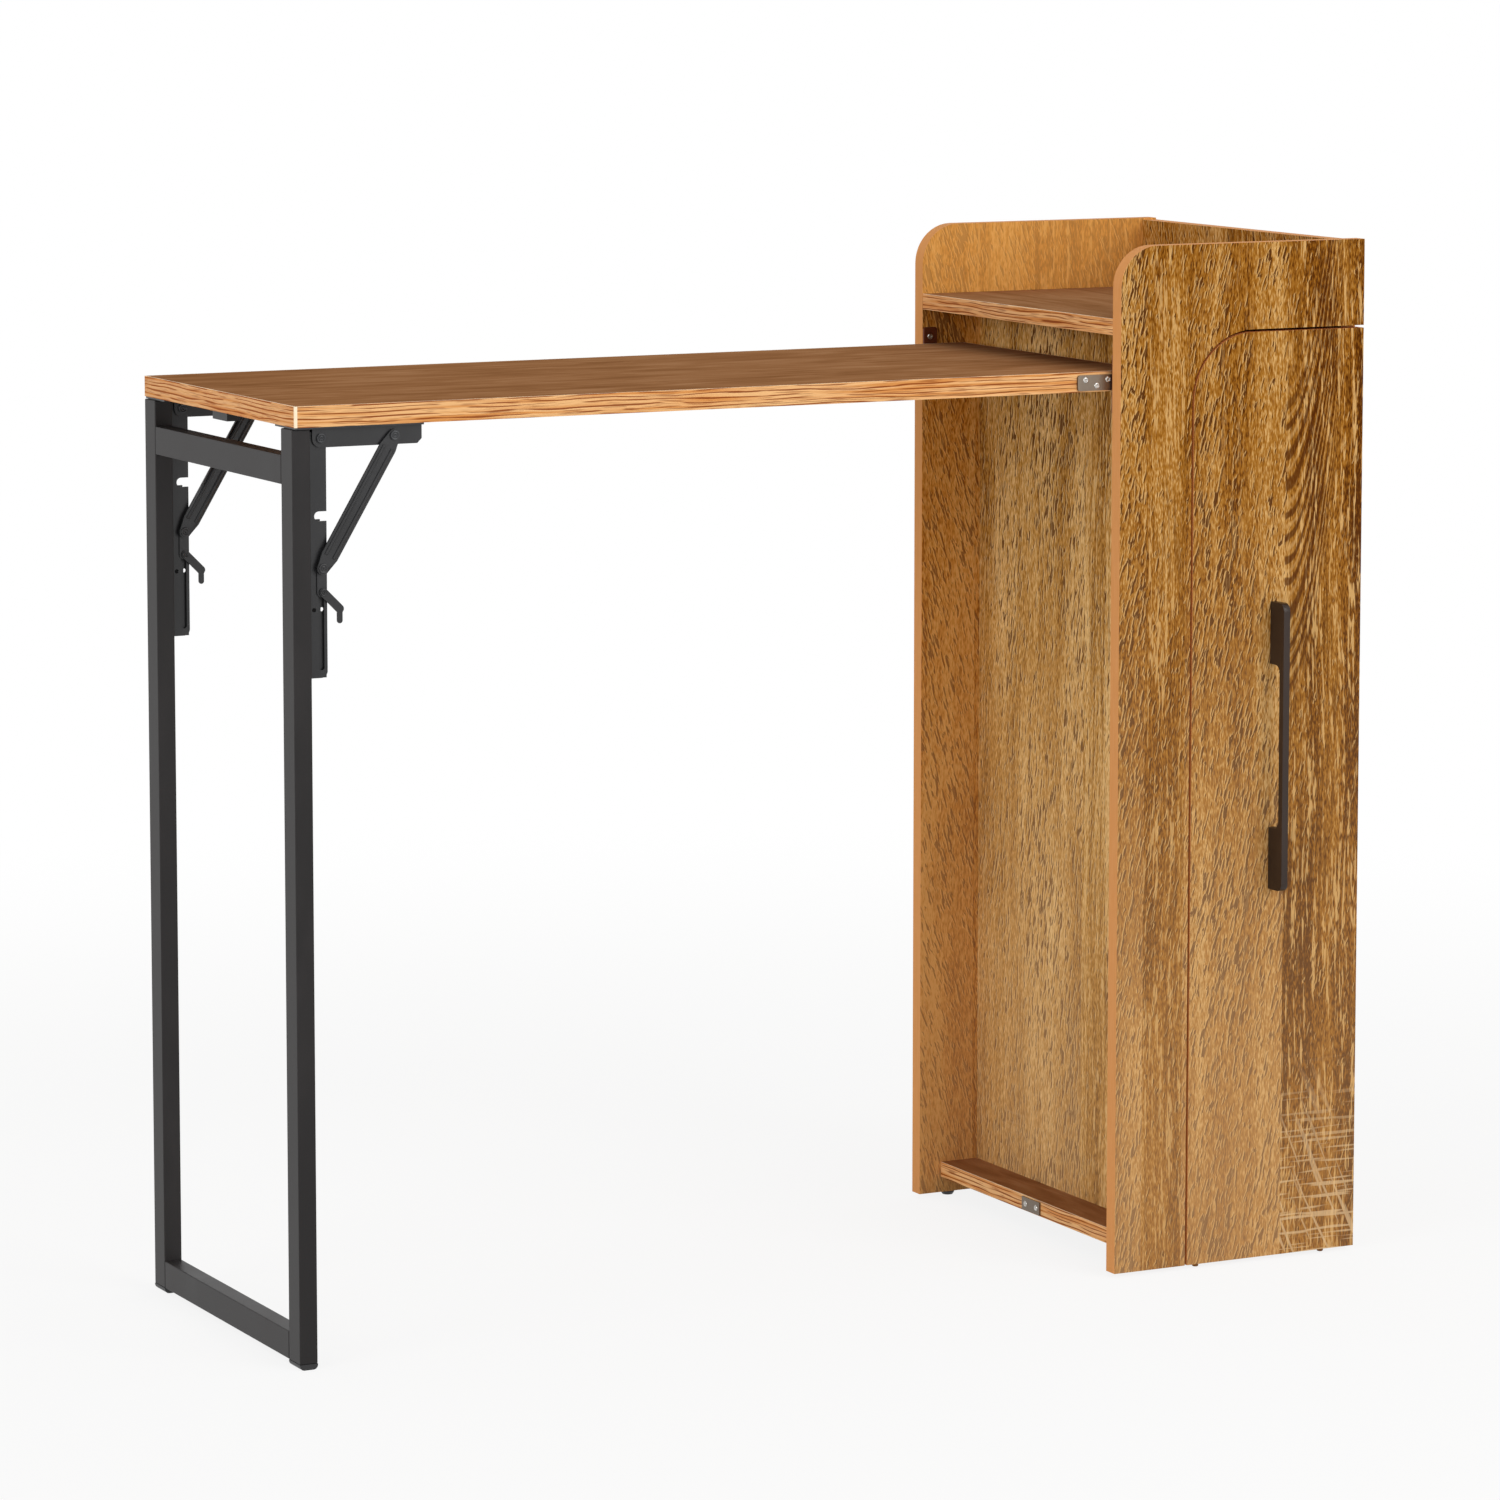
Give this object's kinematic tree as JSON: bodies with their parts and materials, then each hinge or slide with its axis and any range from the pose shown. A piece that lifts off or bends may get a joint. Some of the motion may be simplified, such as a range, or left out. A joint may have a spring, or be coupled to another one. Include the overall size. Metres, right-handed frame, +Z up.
{
  "type": "folding bar table",
  "caption": "Bar-height table with a folding top on a tubular leg frame, hinged to a slim oak cabinet with an open shelf and a pull-out trolley.",
  "frame": {"origin": "on the floor, in the middle of the outline seen from above", "axes": "+X along the top towards the cabinet, +Y away from the trolley's handle, +Z up"},
  "size_m": [1.2668, 0.494, 1.136],
  "materials": {
    "oak_panel": "rough-sawn oak grain on laminated board",
    "brown_board": "plain matte brown laminate",
    "striped_band": "striped oak edge band",
    "dowel_wood": "plain beech",
    "black_plastic": "matte black plastic",
    "charcoal_tube": "charcoal powder coat",
    "black_bracket": "satin black",
    "bright_steel": "zinc plated",
    "dark_handle": "satin dark brown",
    "roller_tyre": "moulded grey-black tyre"
  },
  "bodies": {
    "cabinet": {"far_side_panel": "oak_panel", "near_side_panel": "oak_panel", "partition_panel": "oak_panel", "back_panel": "oak_panel", "top_shelf": "brown_board", "shelf_edge_band": "striped_band", "bottom_rail": "brown_board", "rail_edge_band": "striped_band", "panel_dowels": "dowel_wood", "cabinet_glides": "black_plastic", "catch_plate": "bright_steel", "catch_plate_screws": "bright_steel", "hinge_wall_plates": "black_bracket", "hinge_wall_screws": "bright_steel", "hinge_pins": "bright_steel"},
    "top": {"table_top": "brown_board", "table_edge_band": "striped_band", "hinge_edge_plates": "bright_steel", "hinge_edge_screws": "bright_steel", "catch_magnet": "black_plastic", "near_bracket_mount": "black_bracket", "far_bracket_mount": "black_bracket", "bracket_pivot_pins": "bright_steel", "bracket_mount_screws": "bright_steel"},
    "leg_frame": {"near_leg_post": "charcoal_tube", "far_leg_post": "charcoal_tube", "upper_crossbar": "charcoal_tube", "lower_crossbar": "charcoal_tube", "leg_foot_caps": "black_plastic", "leg_end_plugs": "black_plastic", "near_leg_plate": "black_bracket", "far_leg_plate": "black_bracket", "leg_plate_rivets": "bright_steel"},
    "trolley": {"trolley_front": "oak_panel", "trolley_front_buttons": "dowel_wood", "trolley_base": "brown_board", "trolley_rear": "oak_panel", "trolley_lower_shelf": "brown_board", "trolley_upper_shelf": "brown_board", "trolley_guard_rods": "bright_steel", "trolley_handle": "dark_handle", "handle_screws": "bright_steel", "roller_brackets": "bright_steel", "roller_axles": "bright_steel"},
    "near_brace": {"near_brace_arm": "black_bracket"},
    "near_slider": {"near_slide_carriage": "bright_steel"},
    "near_lever": {"near_release_lever": "black_bracket"},
    "far_brace": {"far_brace_arm": "black_bracket"},
    "far_slider": {"far_slide_carriage": "bright_steel"},
    "far_lever": {"far_release_lever": "black_bracket"},
    "front_left_roller": {"front_left_roller": "roller_tyre"},
    "front_right_roller": {"front_right_roller": "roller_tyre"},
    "rear_left_roller": {"rear_left_roller": "roller_tyre"},
    "rear_right_roller": {"rear_right_roller": "roller_tyre"}
  },
  "joints": [
    {"name": "table_drop", "type": "hinge", "parent": "cabinet", "child": "top", "pos_m": [0.33235, 0.014, 0.986], "axis": [0, -1, 0], "range_deg": [0, 75]},
    {"name": "leg_fold", "type": "hinge", "parent": "top", "child": "leg_frame", "pos_m": [-0.60035, 0.014, 0.966], "axis": [0, -1, 0], "range_deg": [0, 90]},
    {"name": "near_brace_turn", "type": "hinge", "parent": "top", "child": "near_brace", "pos_m": [-0.52035, -0.176, 0.966], "axis": [0, -1, 0], "range_deg": [0, 121.04]},
    {"name": "near_carriage_slide", "type": "slide", "parent": "leg_frame", "child": "near_slider", "axis": [0, 0, -1], "range_m": [0, 0.10222]},
    {"name": "near_lever_turn", "type": "hinge", "parent": "near_slider", "child": "near_lever", "pos_m": [-0.59885, -0.1857, 0.808], "axis": [0, 1, 0], "range_deg": [0, 48]},
    {"name": "far_brace_turn", "type": "hinge", "parent": "top", "child": "far_brace", "pos_m": [-0.52035, 0.204, 0.966], "axis": [0, -1, 0], "range_deg": [0, 121.04]},
    {"name": "far_carriage_slide", "type": "slide", "parent": "leg_frame", "child": "far_slider", "axis": [0, 0, -1], "range_m": [0, 0.10222]},
    {"name": "far_lever_turn", "type": "hinge", "parent": "far_slider", "child": "far_lever", "pos_m": [-0.59885, 0.1943, 0.808], "axis": [0, 1, 0], "range_deg": [0, 48]},
    {"name": "trolley_pull", "type": "slide", "parent": "cabinet", "child": "trolley", "axis": [0, -1, 0], "range_m": [0, 0.38]},
    {"name": "front_left_roller_spin", "type": "hinge", "parent": "trolley", "child": "front_left_roller", "pos_m": [0.44735, -0.1733, 0.016], "axis": [1, 0, 0], "range_deg": [0, 1361.8]},
    {"name": "front_right_roller_spin", "type": "hinge", "parent": "trolley", "child": "front_right_roller", "pos_m": [0.58135, -0.1733, 0.016], "axis": [1, 0, 0], "range_deg": [0, 1361.8]},
    {"name": "rear_left_roller_spin", "type": "hinge", "parent": "trolley", "child": "rear_left_roller", "pos_m": [0.44735, 0.193, 0.016], "axis": [1, 0, 0], "range_deg": [0, 1361.8]},
    {"name": "rear_right_roller_spin", "type": "hinge", "parent": "trolley", "child": "rear_right_roller", "pos_m": [0.58135, 0.193, 0.016], "axis": [1, 0, 0], "range_deg": [0, 1361.8]}
  ],
  "couplings": [
    {"joint": "near_brace_turn", "follows": "leg_fold", "ratio": 1.3447},
    {"joint": "near_carriage_slide", "follows": "leg_fold", "m_per_rad": 0.065067},
    {"joint": "near_lever_turn", "follows": "leg_fold", "ratio": 0.53333},
    {"joint": "far_brace_turn", "follows": "leg_fold", "ratio": 1.3447},
    {"joint": "far_carriage_slide", "follows": "leg_fold", "m_per_rad": 0.065067},
    {"joint": "far_lever_turn", "follows": "leg_fold", "ratio": 0.53333},
    {"joint": "front_left_roller_spin", "follows": "trolley_pull", "rad_per_m": 62.5},
    {"joint": "front_right_roller_spin", "follows": "trolley_pull", "rad_per_m": 62.5},
    {"joint": "rear_left_roller_spin", "follows": "trolley_pull", "rad_per_m": 62.5},
    {"joint": "rear_right_roller_spin", "follows": "trolley_pull", "rad_per_m": 62.5}
  ]
}
